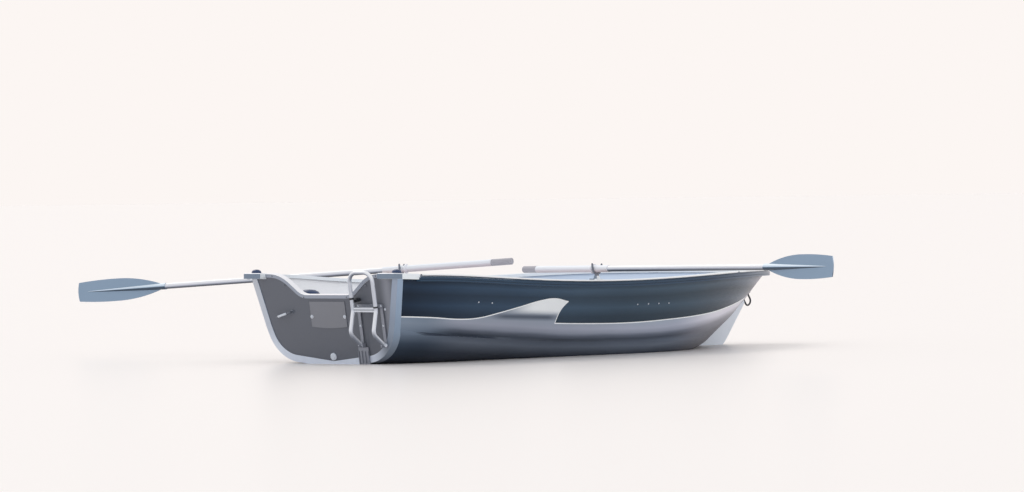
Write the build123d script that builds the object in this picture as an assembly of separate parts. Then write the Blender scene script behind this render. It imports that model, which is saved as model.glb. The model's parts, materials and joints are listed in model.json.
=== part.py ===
"""An open aluminium rowing boat, afloat, with its two oars in their oarlocks and a boarding ladder.

Millimetres. The boat is drawn in its own frame: X forward from the transom's foot, Y to port, Z up
from the keel line. save() then trims it bow down and puts the water plane at z = 0, with the origin
amidships on the centreline. Each half of the hull is one skin, lofted through a few sections that
fan out from the transom's raked plane to the stem's upright centre plane.
"""
import os
from math import cos, hypot, radians, sin, tan

from build123d import *

os.makedirs("parts", exist_ok=True)

# How it floats
TRIM = 2.5                  # degrees, bow down
FOOT_DRAUGHT = 8            # level of the boat frame's zero below the water, at the transom
ORIGIN_FORWARD = 1900       # origin forward of the transom's foot

# Hull
RAKE = 12                   # degrees, transom leaning aft
SKIN = 4                    # pressed sheet
GAP = 0.3                   # between pieces that seat on each other
# Half sections of the hull's outer face. Each is a rounded path in an upright plane that turns away
# from athwartships by "fan" degrees; the first lies in the transom's plane instead. "spread" allows
# for the planes that cut the skin at a slant.
SECTIONS = [
    # (on centreline, fan, keel up, bilge out, up, knuckle out, up, sheer out, up, radii, spread)
    (0, None, -12, 420, 38, 478, 219, 550, 513, 225, 300, 1.0),
    (900, 0, -8, 515, 50, 602, 198, 705, 503, 250, 300, 1.0),
    (1900, 0, -4, 560, 68, 662, 212, 767, 529, 270, 300, 1.0),
    (2600, 20, 20, 460, 128, 592, 290, 704, 591, 240, 300, 1.0),
    (3010, 47, 62, 245, 196, 432, 372, 592, 615, 170, 300, 1.04),
    (3330, 90, 138, 168, 244, 458, 438, 680, 626, 170, 300, 1.35),
]

# Gunwale, as offsets out from and up from the skin's top outer corner
GUNWALE_OUT = 26
GUNWALE_TOP = 5
GUNWALE_DROP = 36
GUNWALE_IN = 22
GUNWALE_LIP = 14
GUNWALE_WALL = 3
GUNWALE_GROOVE = 3          # depth and height of the grooves along the outer face
GUNWALE_TAPER = 0.45        # share of its height that it loses by the stem

# Transom
TRANSOM = 30                # sandwich panel
CUTOUT_HALF = 185           # flat of the motor cut-out
CUTOUT_UP = 399
SHOULDER_IN = 335           # where the slope would meet the shoulder
SHOULDER_UP = 519
CUTOUT_RADIUS = 110
SHOULDER_RADIUS = 220
CORNER_IN = 440             # trim stops and casting starts here
TRIM_WALL = 4
TRIM_LIP = 15
RIM_WALL = 3
RIM_FACE = 36               # flange on the transom's aft face
RIM_SIDE = 34               # flange along the hull's side
CASTING_UNDER = 484         # underside of the corner castings
CASTING_THICK = 32
CASTING_FRONT = 20
CASTING_AFT = 155
CASTING_WIDE_AFT = 578
CASTING_WIDE_FRONT = 600
CASTING_ROUND = 26
CASTING_LEG = 70            # width of its arm along the gunwale
CASTING_EDGE = 4
KNOB_RADIUS = 28
KNOB_HIGH = 22
KNOB_DOME = 15
KNOB_X = -90
KNOB_Y = 528
PAD_HALF = 132              # motor pad
PAD_LOW = 222
PAD_HIGH = 366
PAD_WALL = 4
PAD_SAG = 8
PLUG_UP = 50
PLUG_RADIUS = 21
PLUG_HIGH = 12
HANDLE_OUT = 322            # grab handle on the transom's port side
HANDLE_UP = 293
HANDLE_LONG = 105
HANDLE_OFF = 35
HANDLE_ROD = 4.5
HANDLE_TILT = 15

# Keel and stem
KEEL_WIDE = 12
KEEL_DEEP = 30
KEEL_AFT = 120
CUTWATER_TOP = (3788, 424)  # where the cutwater meets the stem, under the eye
CUTWATER_WATER = (3600, 186)
CUTWATER_FOOT = (3460, 65)
CUTWATER_BURIED = (3776, 454)
KEEL_RISE = (2300, -34)     # where the keel starts to rise
KEEL_RISE_RADIUS = 1500
FOREFOOT_RADIUS = 380
CUTWATER_RADIUS = 300
KEEL_BURIED = [(3010, 260), (1900, 60), (KEEL_AFT, 60)]     # cut away by the hull
EYE_ROD = 5.5
EYE_REACH = 50
EYE_HALF = 27
EYE_SUNK = 14               # its legs are drawn this far into the stem, then cut by the skin
EYE_CENTRE = (3812, 455)    # on the stem
EYE_SLOPE = 40              # degrees, the stem's rake there
BOW_PLATE_AFT = 3700
BOW_PLATE_WALL = 4
BOW_PLATE_DOWN = 26         # its top below the stem's head

# Thwarts: closed boxes down to the bottom
THWARTS = [
    # name, aft face, front face, seat height
    ("aft", 180, 600, 394),
    ("mid", 1800, 2130, 398),
    ("bow", 2960, 3300, 430),
]
THWART_ROUND = 22
LID_RADIUS = 60             # hatch lid at the aft thwart's port end
LID_HIGH = 38
LID_DOME = 26
LID_X = 268
LID_Y = 440
RIB_GAP = 1                 # ribs stand this far off the skin, on sealant
RIB_HIGH = 14
RIB_WIDE = 34
RIBS = [760, 1060, 1360, 1660, 2300, 2540, 2780]
RIB_TOP = 200
KEELSON_HALF = 45
SOLE_GAP = 2                # ribs stop this far from the thwarts

# Oarlocks and oars
LOCK_X = 1417
LOCK_Y = 743
LOCK_UP = 64                # oar's axis above the gunwale's top
SOCKET_BASE = (92, 46, 6)
SOCKET_TOWER = 34
SOCKET_HIGH = 24
PIN_RADIUS = 6
PIN_DEEP = 18
PIN_GAP = 0.3
FORK_ROD = 6
FORK_RADIUS = 29
FORK_HORN = 26
FORK_FLARE = 9              # degrees, the horns lean apart
COLLAR_RADIUS = 13
OAR_SWEEP = 15.2            # blades aft of the beam
OAR_LIFT = {"port": -4.0, "starboard": -0.1}
OAR_INBOARD = 724
OAR_OUTBOARD = 2187
SHAFT_RADIUS = 17
SLEEVE_RADIUS = 20
SLEEVE_OUT = 120            # sleeve's end outboard of the lock
STOP_IN = 26                # stop ring inboard of the lock
STOP_LONG = 10
GRIP_LONG = 135
GRIP_RADIUS = 20
GRIP_EDGE = 4
GRIP_END = 6                # thickness of its closed end
BLADE_LONG = 605
BLADE_HALF = 68             # half of the widest place
BLADE_WIDEST = 0.54         # of its length
BLADE_TIP_HALF = 57
BLADE_BOW = 8               # the tip's middle beyond its corners
BLADE_ROOT = 40             # where the flat starts, from the neck's end
NECK_WALL = 3
BLADE_THICK = 5
BLADE_SPINE = 0.89          # of its length
SOCKET_LAP = 70             # blade's neck over the shaft

# Ladder, in the transom's plane: out to starboard, up along it, aft from it
LADDER_IN = 236
LADDER_OUT = 406
LADDER_TUBE = 11.5
HINGE_UP = 122
HINGE_OFF = 22
KNEE_UP = 200
KNEE_OFF = 101
STRAIGHT_UP = 322
STRAIGHT_OFF = 55
HOOP_TOP = 541
HOOP_ROUND = 58
EYE_OUTER = 11
EYE_LONG = 24
HINGE_PIN = 5
HINGE_CLEAR = 0.3
LUG_WALL = 5
RAIL_WIDE = 20
RAIL_WALL = 5
RAIL_OFF = 4                # rails stand this far off the transom
RAIL_TOP = 352
TREAD_UP = 330
TREAD_HIGH = 30
TREAD_DEEP = 13
CRADLE_UP = 378
CRADLE_WALL = 6
FOOT_WIDE = 74
FOOT_TOP = 106
FOOT_RIB = 3
FOOT_RIB_HIGH = 6
FOOT_RIB_TOP = 86           # leaves room for the stile when the ladder hangs

STERN = Plane(origin=(0, 0, 0), x_dir=(0, -1, 0), z_dir=(-cos(radians(RAKE)), 0, -sin(radians(RAKE))))
AFLOAT = Pos(-ORIGIN_FORWARD, 0, -FOOT_DRAUGHT) * Rot(0, TRIM, 0)
FAR = 6000
RISING = (Align.CENTER, Align.CENTER, Align.MIN)


def save(name, shape):
    export_step(AFLOAT * shape, f"parts/{name}.step")


def both_sides(name, shape):
    """A port piece and its mirror image."""
    save(f"{name}_port", shape)
    save(f"{name}_starboard", shape.mirror(Plane.XZ))


def whole(half):
    return half + half.mirror(Plane.XZ)


def plane_of(section):
    x, fan = section[0], section[1]
    if fan is None:
        return Plane(origin=(x, 0, 0), x_dir=(0, 1, 0), z_dir=(cos(radians(RAKE)), 0, sin(radians(RAKE))))
    out = (sin(radians(fan)), cos(radians(fan)), 0)
    return Plane(origin=(x, 0, 0), x_dir=out, z_dir=(out[1], -out[0], 0))


def crossing(a, b, c, d):
    """Where line ab meets line cd."""
    r = (b[0] - a[0], b[1] - a[1])
    s = (d[0] - c[0], d[1] - c[1])
    k = ((c[0] - a[0]) * s[1] - (c[1] - a[1]) * s[0]) / (r[0] * s[1] - r[1] * s[0])
    return (a[0] + k * r[0], a[1] + k * r[1])


def moved_out(corners, off):
    """The corners of a path moved off to its right."""
    runs = []
    for a, b in zip(corners, corners[1:]):
        long = hypot(b[0] - a[0], b[1] - a[1])
        n = ((b[1] - a[1]) / long * off, (a[0] - b[0]) / long * off)
        runs.append(((a[0] + n[0], a[1] + n[1]), (b[0] + n[0], b[1] + n[1])))
    inner = [crossing(*one, *two) for one, two in zip(runs, runs[1:])]
    return [runs[0][0], *inner, runs[-1][1]], runs


def outline(section, off, height=None):
    """The section's path from keel to sheer, moved outwards by off, and its two ends."""
    keel, bilge, knuckle, sheer = (0, section[2]), section[3:5], section[5:7], section[7:9]
    step = off * section[11]
    points, runs = moved_out([keel, bilge, knuckle, sheer], step)
    up = sheer[1] if height is None else height
    points[0] = crossing(*runs[0], (0, 0), (0, 1))
    points[-1] = crossing(*runs[-1], (0, up), (1, up))
    path = FilletPolyline(*points, radius=[section[9] + step, section[10] + step])
    return path, points[0], points[-1]


def band_face(section, outside, inside, over=0):
    """The section's face between two offsets of its outline, ending over its sheer."""
    height = section[8] + over
    outer, keel, sheer = outline(section, outside, height)
    inner, inner_keel, inner_sheer = outline(section, inside, height)
    return make_face([outer, Line(sheer, inner_sheer), inner, Line(inner_keel, keel)])


def half_shell(outside, inside, over=0):
    """The port half of a shell that follows the hull between two offsets from its outer face."""
    return loft([plane_of(s) * band_face(s, outside, inside, over) for s in SECTIONS])


def piece_at(shape, point):
    """The solid of a cut shape that lies nearest to a point."""
    return min(shape.solids(), key=lambda solid: solid.distance_to(Vertex(*point)))


def slab(x0, x1, y0, y1, z0, z1):
    return Pos((x0 + x1) / 2, (y0 + y1) / 2, (z0 + z1) / 2) * Box(x1 - x0, y1 - y0, z1 - z0)


def hull_half():
    return half_shell(0, -SKIN) - slab(-FAR, CASTING_FRONT, -FAR, FAR, CASTING_UNDER - GAP, FAR)


def gunwale_face(section):
    sheer, spread = section[7:9], section[11]
    squeeze = 1 - GUNWALE_TAPER * ((section[1] or 0) / 90)**2
    out, groove = GUNWALE_OUT, GUNWALE_GROOVE
    third = (GUNWALE_DROP - 2 * groove) / 3
    profile = [
        (-SKIN / 2, -GUNWALE_DROP), (out - 4, -GUNWALE_DROP), (out - 2, -GUNWALE_DROP + 2),
        (out - 2, -GUNWALE_DROP + third), (out - 2 - groove, -GUNWALE_DROP + third + 1),
        (out - 2 - groove, -GUNWALE_DROP + third + groove), (out - 2, -GUNWALE_DROP + third + groove + 1),
        (out - 2, -third), (out - 2 - groove, -third + 1), (out - 2 - groove, -groove),
        (out, -groove + 1), (out, GUNWALE_TOP - 2), (out - 2, GUNWALE_TOP),
        (-GUNWALE_IN + 2, GUNWALE_TOP), (-GUNWALE_IN, GUNWALE_TOP - 2), (-GUNWALE_IN, -GUNWALE_LIP),
        (-GUNWALE_IN + GUNWALE_WALL, -GUNWALE_LIP), (-GUNWALE_IN + GUNWALE_WALL, GAP), (-SKIN / 2, GAP),
    ]
    low = [(s * spread, z * squeeze if z < 0 else z) for s, z in profile]
    return make_face(Polyline(*[(sheer[0] + s, sheer[1] + z) for s, z in low], close=True))


def gunwale():
    rail = loft([plane_of(s) * gunwale_face(s) for s in SECTIONS]) - half_shell(GAP, -SKIN - GAP, GAP)
    rail -= slab(-FAR, CASTING_FRONT + GAP, -FAR, FAR, -FAR, FAR)
    return piece_at(rail, (ORIGIN_FORWARD, FAR, 0))


def top_edge(off):
    """The transom's top edge from the shoulder in to the centreline, moved up by off."""
    corners = [(CORNER_IN, SHOULDER_UP), (SHOULDER_IN, SHOULDER_UP), (CUTOUT_HALF, CUTOUT_UP), (0, CUTOUT_UP)]
    points, _ = moved_out(corners, off)
    return FilletPolyline(*points, radius=[SHOULDER_RADIUS + off, CUTOUT_RADIUS - off]), points[0], points[-1]


def transom():
    first = SECTIONS[0]
    side, keel, sheer = outline(first, -SKIN - GAP, SHOULDER_UP)
    top, shoulder, middle = top_edge(0)
    half = extrude(plane_of(first) * make_face([side, Line(sheer, shoulder), top, Line(middle, keel)]), TRANSOM)
    return whole(half - slab(-FAR, FAR, CORNER_IN - GAP, FAR, CASTING_UNDER - GAP, FAR))


def transom_trim():
    def band(over, under):
        high, a, b = top_edge(over)
        low, c, d = top_edge(-under)
        return make_face([high, Line(b, d), low, Line(c, a)])
    plane = plane_of(SECTIONS[0])
    aft = plane.offset(-GAP - TRIM_WALL)
    channel = extrude(aft * band(TRIM_WALL + GAP, TRIM_LIP), TRANSOM + 2 * (GAP + TRIM_WALL))
    slot = extrude(plane.offset(-GAP) * band(GAP, TRIM_LIP + TRIM_LIP), TRANSOM + 2 * GAP)
    half = channel - slot
    return whole(half - slab(-FAR, FAR, CORNER_IN - GAP, FAR, -FAR, FAR))


def transom_rim():
    first = SECTIONS[0]
    plane = plane_of(first)
    top = CASTING_UNDER / cos(radians(RAKE)) - GAP
    outer, keel, sheer = outline(first, GAP + RIM_WALL, top)
    inner, inner_keel, inner_sheer = outline(first, -RIM_FACE, top)
    flange = make_face([outer, Line(sheer, inner_sheer), inner, Line(inner_keel, keel)])
    face = extrude(plane.offset(-GAP - RIM_WALL) * flange, RIM_WALL)
    seat, seat_keel, seat_sheer = outline(first, GAP, top)
    edge = make_face([outer, Line(sheer, seat_sheer), seat, Line(seat_keel, keel)])
    corner = extrude(plane.offset(-GAP) * edge, GAP)
    shell = half_shell(GAP + RIM_WALL, GAP)
    reach = plane.offset(RIM_SIDE) * Rectangle(FAR, FAR)
    shell = shell - extrude(reach, FAR)
    shell = shell - slab(-FAR, FAR, -FAR, FAR, CASTING_UNDER - GAP, FAR)
    return whole(face + corner + shell)


def casting():
    """An angle that caps the corner: one arm along the transom, one along the gunwale."""
    inner_x = -CASTING_UNDER * tan(radians(RAKE)) + (TRANSOM + CASTING_EDGE) / cos(radians(RAKE))
    inner_y = CASTING_WIDE_FRONT - CASTING_LEG
    plan = make_face(Polyline(
        (-CASTING_AFT, CORNER_IN), (inner_x, CORNER_IN), (inner_x, inner_y), (CASTING_FRONT, inner_y),
        (CASTING_FRONT, CASTING_WIDE_FRONT), (-CASTING_AFT, CASTING_WIDE_AFT), close=True))
    body = extrude(Plane.XY.offset(CASTING_UNDER) * plan, CASTING_THICK)
    outer_aft = body.edges().filter_by(Axis.Z).sort_by_distance((-CASTING_AFT, CASTING_WIDE_AFT, CASTING_UNDER))[0]
    body = fillet(outer_aft, CASTING_ROUND)
    return chamfer(body.faces().sort_by(Axis.Z)[-1].edges(), CASTING_EDGE)


def domed(radius, high, dome):
    """A round cap of three tapering tiers, of which "dome" is the height above its upright rim."""
    tiers = [(radius, high - dome), (radius * 0.84, high - dome * 0.45), (radius * 0.5, high - dome * 0.08), (0, high)]
    return revolve(Plane.XZ * make_face(Polyline((0, 0), (radius, 0), *tiers, close=True)), Axis.Z)


def knob():
    top = CASTING_UNDER + CASTING_THICK + GAP
    return Pos(KNOB_X, KNOB_Y, top) * domed(KNOB_RADIUS, KNOB_HIGH, KNOB_DOME)


def hatch_lid():
    return Pos(LID_X, LID_Y, THWARTS[0][3] + GAP) * domed(LID_RADIUS, LID_HIGH, LID_DOME)


def motor_pad(aft_side):
    bottom = ThreePointArc((-PAD_HALF, PAD_LOW), (0, PAD_LOW - PAD_SAG), (PAD_HALF, PAD_LOW))
    corners = [(PAD_HALF, PAD_LOW), (PAD_HALF, PAD_HIGH), (-PAD_HALF, PAD_HIGH), (-PAD_HALF, PAD_LOW)]
    sides = [Line(a, b) for a, b in zip(corners, corners[1:])]
    plate = make_face([bottom, *sides])
    low = GAP if aft_side else -TRANSOM - GAP - PAD_WALL
    return extrude(STERN.offset(low) * plate, PAD_WALL)


def drain_plug():
    base = Cylinder(PLUG_RADIUS, PLUG_HIGH / 2, align=RISING)
    dome = Pos(0, 0, PLUG_HIGH / 2) * Cone(PLUG_RADIUS - 2, PLUG_RADIUS - 9, PLUG_HIGH / 2,
                                           align=RISING)
    return STERN.offset(GAP) * (Pos(0, PLUG_UP, 0) * (base + dome))


def handle():
    """A bent rod on two round feet; its outboard end is the lower."""
    half = HANDLE_LONG / 2
    path = FilletPolyline((-half, 0, 0), (-half, 0, HANDLE_OFF), (half, 0, HANDLE_OFF), (half, 0, 0), radius=14)
    bar = sweep(Plane(origin=(-half, 0, 0), z_dir=(0, 0, 1)) * Circle(HANDLE_ROD), path=path)
    for x in (-half, half):
        bar += Pos(x, 0, 0) * Cylinder(HANDLE_ROD * 2.6, 2.5, align=RISING)
    return STERN.offset(GAP) * (Pos(-HANDLE_OUT, HANDLE_UP, 0) * Rot(0, 0, HANDLE_TILT) * bar)


def keel():
    """The keel bar and the cutwater in one upright plate, trimmed to the hull's outer face."""
    deep = SECTIONS[1][2] - KEEL_DEEP
    heel = (KEEL_AFT + KEEL_DEEP, deep)
    path = FilletPolyline(heel, KEEL_RISE, CUTWATER_FOOT, CUTWATER_WATER, CUTWATER_TOP,
                          radius=[KEEL_RISE_RADIUS, FOREFOOT_RADIUS, CUTWATER_RADIUS])
    inside = [CUTWATER_BURIED, *KEEL_BURIED, (KEEL_AFT, SECTIONS[0][2])]
    rest = [Line(a, b) for a, b in zip([CUTWATER_TOP, *inside], [*inside, heel])]
    plate = extrude(Plane.XZ * make_face([path, *rest]), KEEL_WIDE / 2, both=True)
    skin = half_shell(GAP, -SKIN)
    return piece_at(plate - skin - skin.mirror(Plane.XZ), (ORIGIN_FORWARD, 0, -FAR))


def bow_eye():
    run = radians(EYE_SLOPE)
    along = (cos(run), 0, sin(run))
    out = (sin(run), 0, -cos(run))
    centre = (EYE_CENTRE[0], 0, EYE_CENTRE[1])
    def at(a, b):
        return tuple(centre[i] + a * along[i] + b * out[i] for i in range(3))
    path = FilletPolyline(at(-EYE_HALF, -EYE_SUNK), at(-EYE_HALF, EYE_REACH), at(EYE_HALF, EYE_REACH),
                          at(EYE_HALF, -EYE_SUNK), radius=EYE_HALF * 0.9)
    rod = sweep(Plane(origin=at(-EYE_HALF, -EYE_SUNK), z_dir=out) * Circle(EYE_ROD), path=path)
    skin = half_shell(GAP, -SKIN)
    return piece_at(rod - skin - skin.mirror(Plane.XZ), at(0, FAR))


def bow_plate():
    top = SECTIONS[-1][8] - BOW_PLATE_DOWN
    edge = half_shell(GAP, -SKIN - GAP)
    plate = slab(BOW_PLATE_AFT, SECTIONS[-1][0] + SECTIONS[-1][7] + 50, -FAR / 8, FAR / 8, top - BOW_PLATE_WALL, top)
    return piece_at(plate - edge - edge.mirror(Plane.XZ), (BOW_PLATE_AFT, 0, top))


def thwart(skin, aft, front, up):
    box = Pos((aft + front) / 2, 0, up / 2 - 100) * Box(front - aft, FAR / 3, up + 200)
    rounded = [e for e in box.edges().filter_by(Axis.Y) if e.center().Z > up - 1]
    box = fillet(rounded, THWART_ROUND)
    return piece_at(box - skin - skin.mirror(Plane.XZ), ((aft + front) / 2, 0, up))


def floor_frame():
    """Ribs that follow the bottom, joined by a flat keelson."""
    band = whole(half_shell(-SKIN - RIB_GAP, -SKIN - RIB_GAP - RIB_HIGH))
    lanes = [slab(x - RIB_WIDE / 2, x + RIB_WIDE / 2, -FAR, FAR, -FAR, RIB_TOP) for x in RIBS]
    spans = [(THWARTS[0][2], THWARTS[1][1]), (THWARTS[1][2], THWARTS[2][1])]
    lanes += [slab(a + SOLE_GAP, b - SOLE_GAP, -KEELSON_HALF, KEELSON_HALF, -FAR, RIB_TOP) for a, b in spans]
    ribs = lanes[0]
    for lane in lanes[1:]:
        ribs += lane
    return band & ribs


def height_at_lock(rail):
    """Height of the gunwale's top at the oarlock's pin."""
    core = rail & slab(LOCK_X - 1, LOCK_X + 1, LOCK_Y - 1, LOCK_Y + 1, 0, FAR)
    return core.bounding_box().max.Z


def socket(rail, top):
    """A block on the gunwale, its base cut to the gunwale's slope."""
    wide, deep, thick = SOCKET_BASE
    base = Pos(0, 0, -thick) * Box(wide, deep, 2 * thick, align=RISING)
    base = fillet(base.edges().filter_by(Axis.Z), 12)
    tower = Cone(SOCKET_TOWER / 2 + 4, SOCKET_TOWER / 2 - 2, SOCKET_HIGH, align=RISING)
    hole = Pos(0, 0, SOCKET_HIGH - PIN_DEEP - 1) * Cylinder(PIN_RADIUS + PIN_GAP, SOCKET_HIGH, align=RISING)
    block = Pos(LOCK_X, LOCK_Y, top) * (base + tower - hole)
    return piece_at(block - Pos(0, 0, GAP) * rail, (LOCK_X, LOCK_Y, FAR))


def oarlock():
    """The fork, drawn about the oar's axis, which runs along Y."""
    arc = ThreePointArc((-FORK_RADIUS, 0, 0), (0, 0, -FORK_RADIUS), (FORK_RADIUS, 0, 0))
    fork = sweep(Plane(origin=(-FORK_RADIUS, 0, 0), z_dir=(0, 0, -1)) * Circle(FORK_ROD), path=arc)
    for side in (-1, 1):
        horn = Cylinder(FORK_ROD, FORK_HORN, align=RISING) + Pos(0, 0, FORK_HORN) * Cone(
            FORK_ROD, FORK_ROD / 2, FORK_ROD, align=RISING)
        fork += Pos(side * FORK_RADIUS, 0, 0) * Rot(0, side * FORK_FLARE, 0) * horn
    collar_low = -LOCK_UP + SOCKET_HIGH + GAP * 2
    collar = Pos(0, 0, collar_low) * Cylinder(COLLAR_RADIUS, -FORK_RADIUS - collar_low, align=RISING)
    pin = Pos(0, 0, collar_low - PIN_DEEP) * Cylinder(PIN_RADIUS, PIN_DEEP + 2, align=RISING)
    return fork + collar + pin


def lock_place(top):
    return Pos(LOCK_X, LOCK_Y, top + LOCK_UP) * Rot(0, 0, OAR_SWEEP)


def oar_pieces():
    """Shaft, sleeve, grip and blade along +Y, which is outboard, with the lock at the origin."""
    def rod(radius, y0, y1):
        return Pos(0, (y0 + y1) / 2, 0) * Rot(90, 0, 0) * Cylinder(radius, y1 - y0)
    root = OAR_OUTBOARD - BLADE_LONG
    shaft = rod(SHAFT_RADIUS, -OAR_INBOARD + GRIP_END, root + SOCKET_LAP)
    hollow = rod(SHAFT_RADIUS + GAP, -FAR, FAR)
    sleeve = rod(SLEEVE_RADIUS, -OAR_INBOARD + GRIP_LONG + GAP, SLEEVE_OUT) - hollow
    stop = rod(SLEEVE_RADIUS + 7, -STOP_IN - STOP_LONG, -STOP_IN) - hollow
    ball = Sphere(FORK_RADIUS - FORK_ROD - GAP) - hollow
    sleeve = sleeve + stop + ball
    grip = chamfer(rod(GRIP_RADIUS, -OAR_INBOARD, -OAR_INBOARD + GRIP_LONG).edges(), GRIP_EDGE)
    grip = grip - rod(SHAFT_RADIUS + GAP, -OAR_INBOARD + GRIP_END - GAP, FAR)
    widest = root + BLADE_LONG * BLADE_WIDEST
    neck = SHAFT_RADIUS + NECK_WALL
    start, corner = root + BLADE_ROOT, OAR_OUTBOARD - BLADE_BOW
    plate = None
    for up in (-1, 1):
        half = make_face([
            Line((start, 0), (start, up * neck)),
            ThreePointArc((start, up * neck), ((start + widest) / 2, up * BLADE_HALF * 0.82), (widest, up * BLADE_HALF)),
            ThreePointArc((widest, up * BLADE_HALF), (widest + (corner - widest) * 0.55, up * BLADE_HALF * 0.965),
                          (corner, up * BLADE_TIP_HALF)),
            ThreePointArc((corner, up * BLADE_TIP_HALF), (OAR_OUTBOARD - BLADE_BOW / 4, up * BLADE_TIP_HALF / 2),
                          (OAR_OUTBOARD, 0)),
            Line((OAR_OUTBOARD, 0), (start, 0)),
        ])
        flat = extrude(Plane.YZ * half, BLADE_THICK / 2, both=True)
        plate = flat if plate is None else plate + flat
    spine_end = root + BLADE_LONG * BLADE_SPINE
    spine = Pos(0, root, 0) * Rot(-90, 0, 0) * Cone(neck, 3, spine_end - root, align=RISING)
    blade = plate + spine - rod(SHAFT_RADIUS + GAP, -FAR, root + SOCKET_LAP + GAP)
    return {"shaft": shaft, "sleeve": sleeve, "grip": grip, "blade": blade}


def ladder_hoop():
    path = FilletPolyline(
        (LADDER_IN, HINGE_UP, HINGE_OFF), (LADDER_IN, KNEE_UP, KNEE_OFF), (LADDER_IN, STRAIGHT_UP, STRAIGHT_OFF),
        (LADDER_IN, HOOP_TOP, STRAIGHT_OFF), (LADDER_OUT, HOOP_TOP, STRAIGHT_OFF), (LADDER_OUT, STRAIGHT_UP, STRAIGHT_OFF),
        (LADDER_OUT, KNEE_UP, KNEE_OFF), (LADDER_OUT, HINGE_UP, HINGE_OFF),
        radius=[42, 60, HOOP_ROUND, HOOP_ROUND, 60, 42])
    away = (0, KNEE_UP - HINGE_UP, KNEE_OFF - HINGE_OFF)
    tube = sweep(Plane(origin=(LADDER_IN, HINGE_UP, HINGE_OFF), z_dir=away) * Circle(LADDER_TUBE), path=path)
    bore = Pos(0, HINGE_UP, HINGE_OFF) * Rot(0, 90, 0) * Cylinder(HINGE_PIN + HINGE_CLEAR, FAR)
    for u in (LADDER_IN, LADDER_OUT):
        tube += Pos(u, HINGE_UP, HINGE_OFF) * Rot(0, 90, 0) * Cylinder(EYE_OUTER, EYE_LONG)
    return STERN * (tube - bore)


def ladder_tread():
    inner = LADDER_OUT - LADDER_IN - 2 * LADDER_TUBE - 2 * GAP
    body = Box(inner, TREAD_HIGH, TREAD_DEEP)
    body = fillet(body.edges().filter_by(Axis.X), 5)
    for up in (-7, 7):
        body -= Pos(0, up, TREAD_DEEP / 2) * Box(inner + 2, 4, 4)
    return STERN * (Pos((LADDER_IN + LADDER_OUT) / 2, TREAD_UP, STRAIGHT_OFF) * body)


def ladder_frame():
    """Rails on the transom, joined by a crossbar, with a lug and pin for each of the hoop's eyes."""
    def bar(u0, u1, v0, v1, w0, w1):
        return slab(u0, u1, v0, v1, w0, w1)
    top, foot = RAIL_TOP, HINGE_UP - 14
    half = RAIL_WIDE / 2
    frame = bar(LADDER_IN - half, LADDER_OUT + half, top - RAIL_WIDE, top, RAIL_OFF, RAIL_OFF + RAIL_WALL)
    for u, side in ((LADDER_IN, 1), (LADDER_OUT, -1)):
        frame += bar(u - half, u + half, foot, top, RAIL_OFF, RAIL_OFF + RAIL_WALL)
        near = u + side * (EYE_LONG / 2 + 1)
        lug = bar(min(near, near + side * LUG_WALL), max(near, near + side * LUG_WALL), foot, HINGE_UP + 10,
                  RAIL_OFF, HINGE_OFF + 10)
        frame += lug
        frame += bar(min(u, near), max(u, near), foot, HINGE_UP - 14 + RAIL_WALL, RAIL_OFF, RAIL_OFF + RAIL_WALL)
        frame += bar(min(u, near + side * LUG_WALL), max(u, near + side * LUG_WALL), foot, HINGE_UP + 10, RAIL_OFF,
                     RAIL_OFF + RAIL_WALL)
        pin_from = near + side * LUG_WALL
        pin_to = u - side * (EYE_LONG / 2 + 3)
        frame += Pos((pin_from + pin_to) / 2, HINGE_UP, HINGE_OFF) * Rot(0, 90, 0) * Cylinder(
            HINGE_PIN, abs(pin_to - pin_from))
        for v in (top - half, (top + foot) / 2):
            frame += Pos(u, v, GAP) * Cylinder(half - 1, RAIL_OFF - GAP, align=RISING)
    return STERN * frame


def ladder_foot():
    """A ribbed channel from the inboard lug down over the rim."""
    low = SECTIONS[0][2] + 6
    right, face = LADDER_IN + FOOT_WIDE / 2, RAIL_OFF + RAIL_WALL
    plate = slab(right - FOOT_WIDE, right, low, FOOT_TOP, RAIL_OFF, face)
    for share in (0, 0.33, 0.67, 1):
        u = right - FOOT_WIDE + share * (FOOT_WIDE - FOOT_RIB)
        plate += slab(u, u + FOOT_RIB, low, FOOT_RIB_TOP, face, face + FOOT_RIB_HIGH)
    return STERN * plate


def ladder_cradle():
    half = LADDER_TUBE + CRADLE_WALL
    block = slab(LADDER_IN - half, LADDER_IN + half, CRADLE_UP - 8, CRADLE_UP + 8, GAP, STRAIGHT_OFF)
    recess = Pos(LADDER_IN, CRADLE_UP, STRAIGHT_OFF) * Rot(90, 0, 0) * Cylinder(LADDER_TUBE + 0.8, 40)
    return STERN * (block - recess)


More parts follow.
